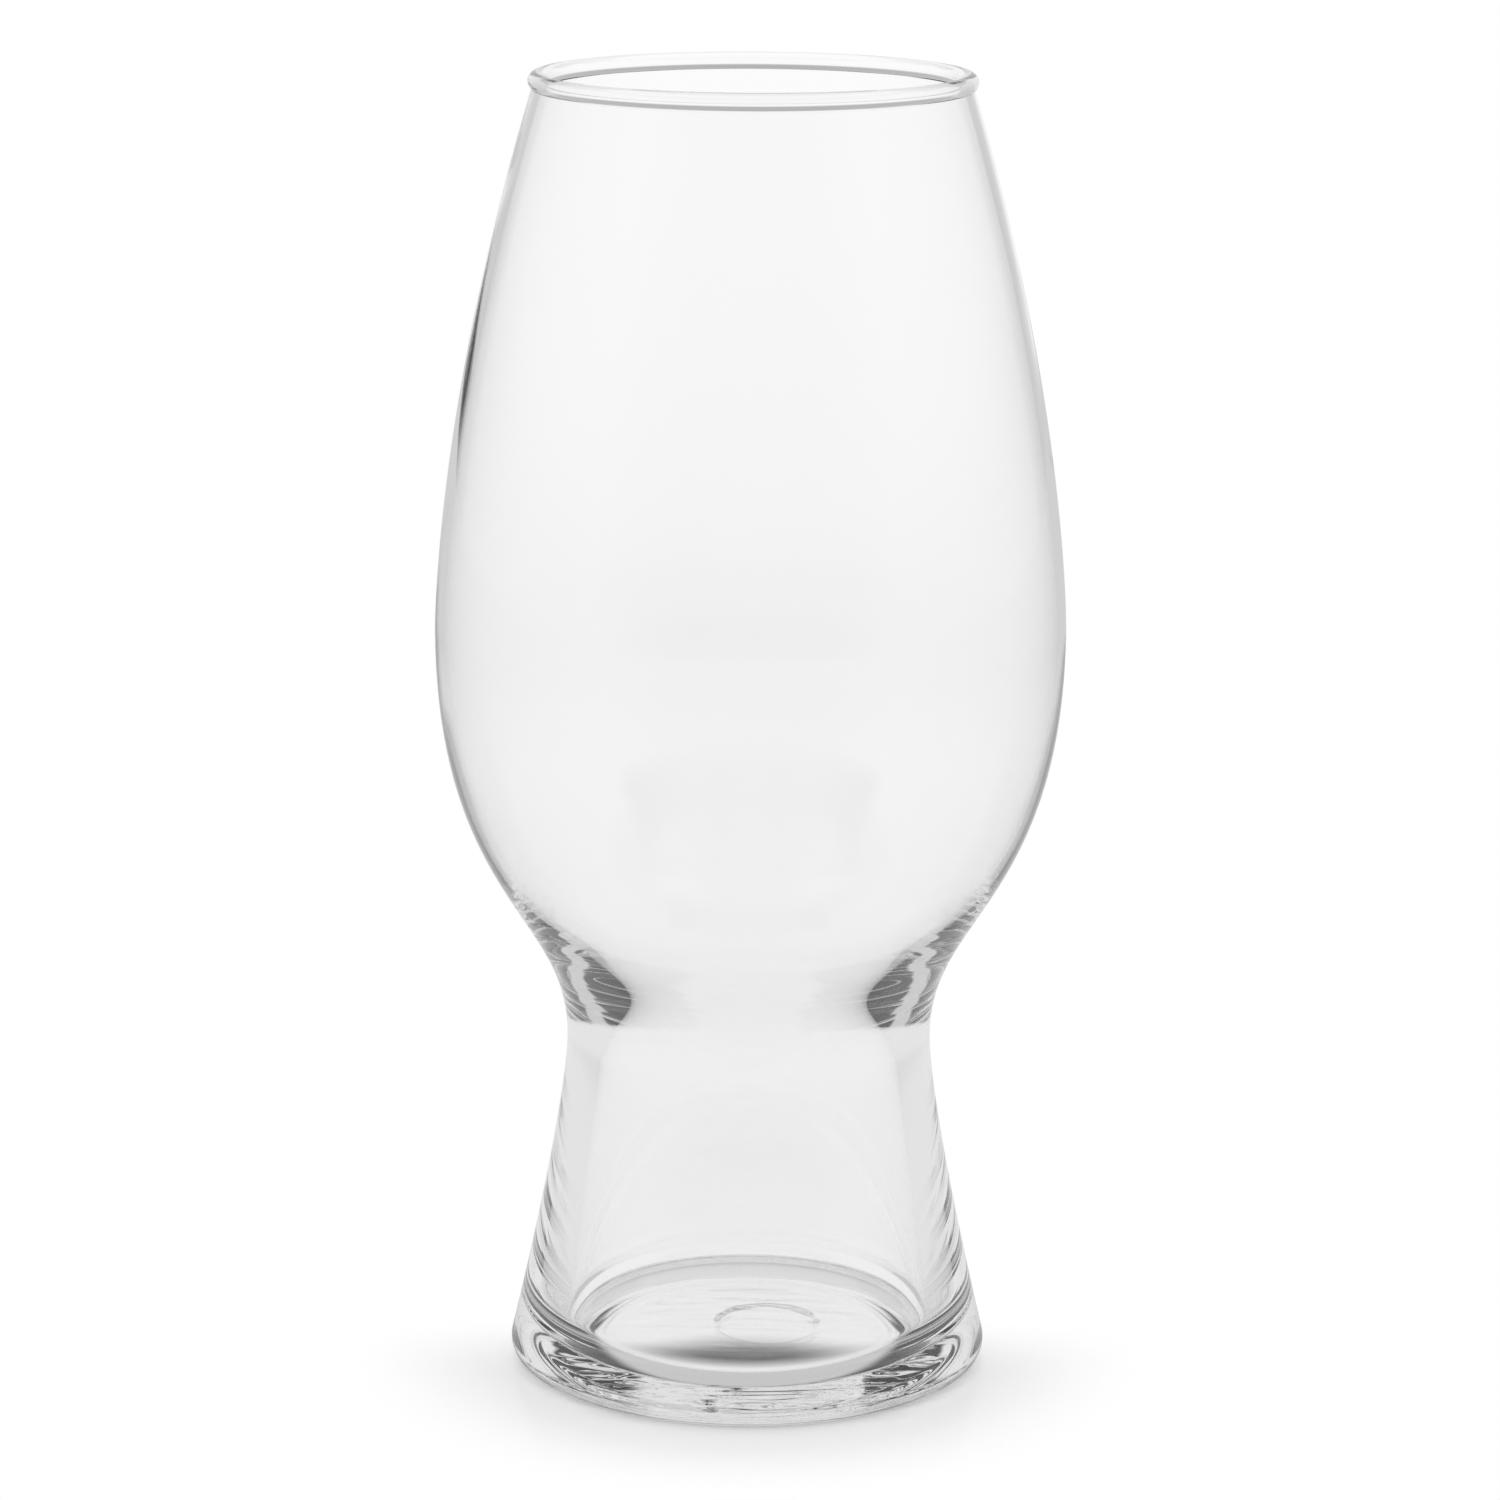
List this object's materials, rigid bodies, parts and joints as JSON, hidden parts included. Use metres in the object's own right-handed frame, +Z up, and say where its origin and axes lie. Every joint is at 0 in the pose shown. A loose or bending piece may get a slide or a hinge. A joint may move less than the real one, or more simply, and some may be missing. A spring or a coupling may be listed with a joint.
{
  "type": "tulip beer glass",
  "caption": "Clear tulip beer glass with a beaded rim, a thin bowl drawn in towards the mouth, a thick waist and a hollow flared foot open to the bowl.",
  "frame": {"origin": "centre of the bearing ring, on the surface that the glass stands on", "axes": "+Z up along the axis of revolution, towards the rim; +X to the right and +Y away from the viewer of the picture"},
  "size_m": [0.0864, 0.0864, 0.18],
  "materials": {
    "clear_glass": "clear colourless soda-lime glass, smooth and fire-polished"
  },
  "bodies": {
    "root": {"base": "clear_glass", "foot": "clear_glass", "waist": "clear_glass", "bowl": "clear_glass", "rim_bead": "clear_glass"}
  },
  "joints": []
}
